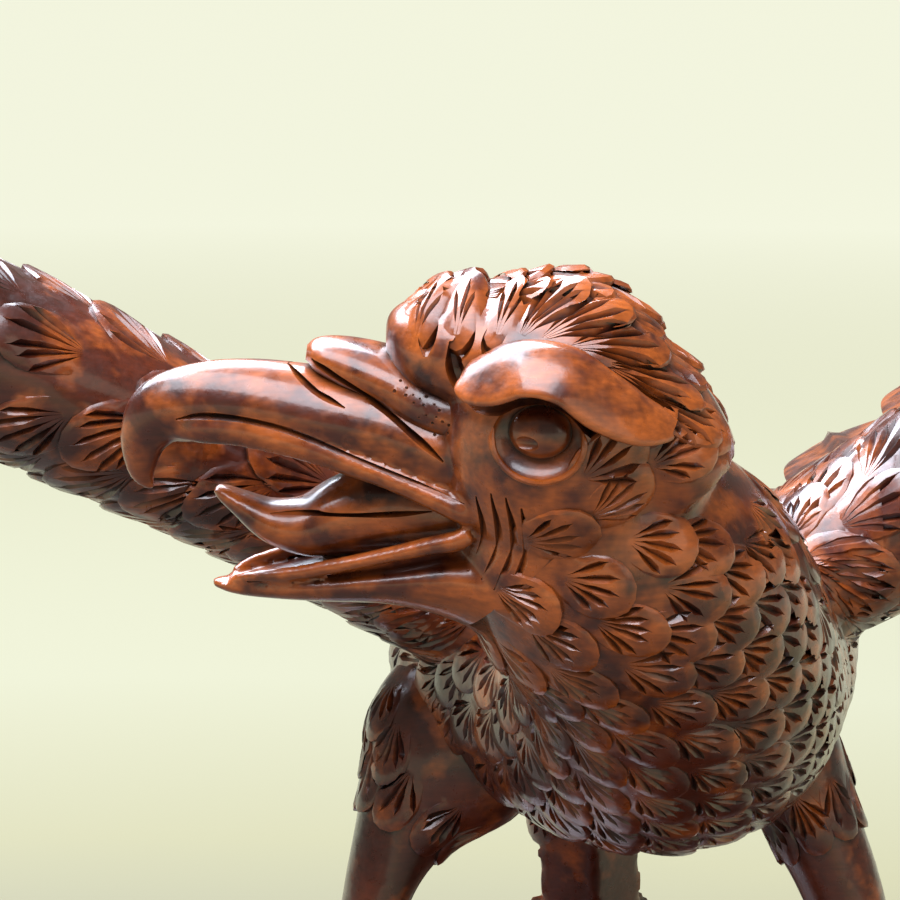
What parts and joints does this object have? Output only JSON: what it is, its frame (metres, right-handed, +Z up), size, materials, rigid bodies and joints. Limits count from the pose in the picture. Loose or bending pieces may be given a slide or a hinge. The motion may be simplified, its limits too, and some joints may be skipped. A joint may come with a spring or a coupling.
{
  "type": "carved eagle statuette",
  "caption": "Hardwood carving of an eagle with open beak and spread wings, standing on a low rock, to stand on a shelf or table.",
  "frame": {"origin": "middle of the flat underside of the rock", "axes": "+Z up, the breast faces -Y, the right wing reaches along -X and the left wing along +X"},
  "size_m": [0.4247, 0.1725, 0.2033],
  "materials": {
    "stained_hardwood": "dark red-brown stain under a semi-gloss lacquer, orange where it is worn"
  },
  "bodies": {
    "root": {"eagle_carving": "stained_hardwood"}
  },
  "joints": []
}
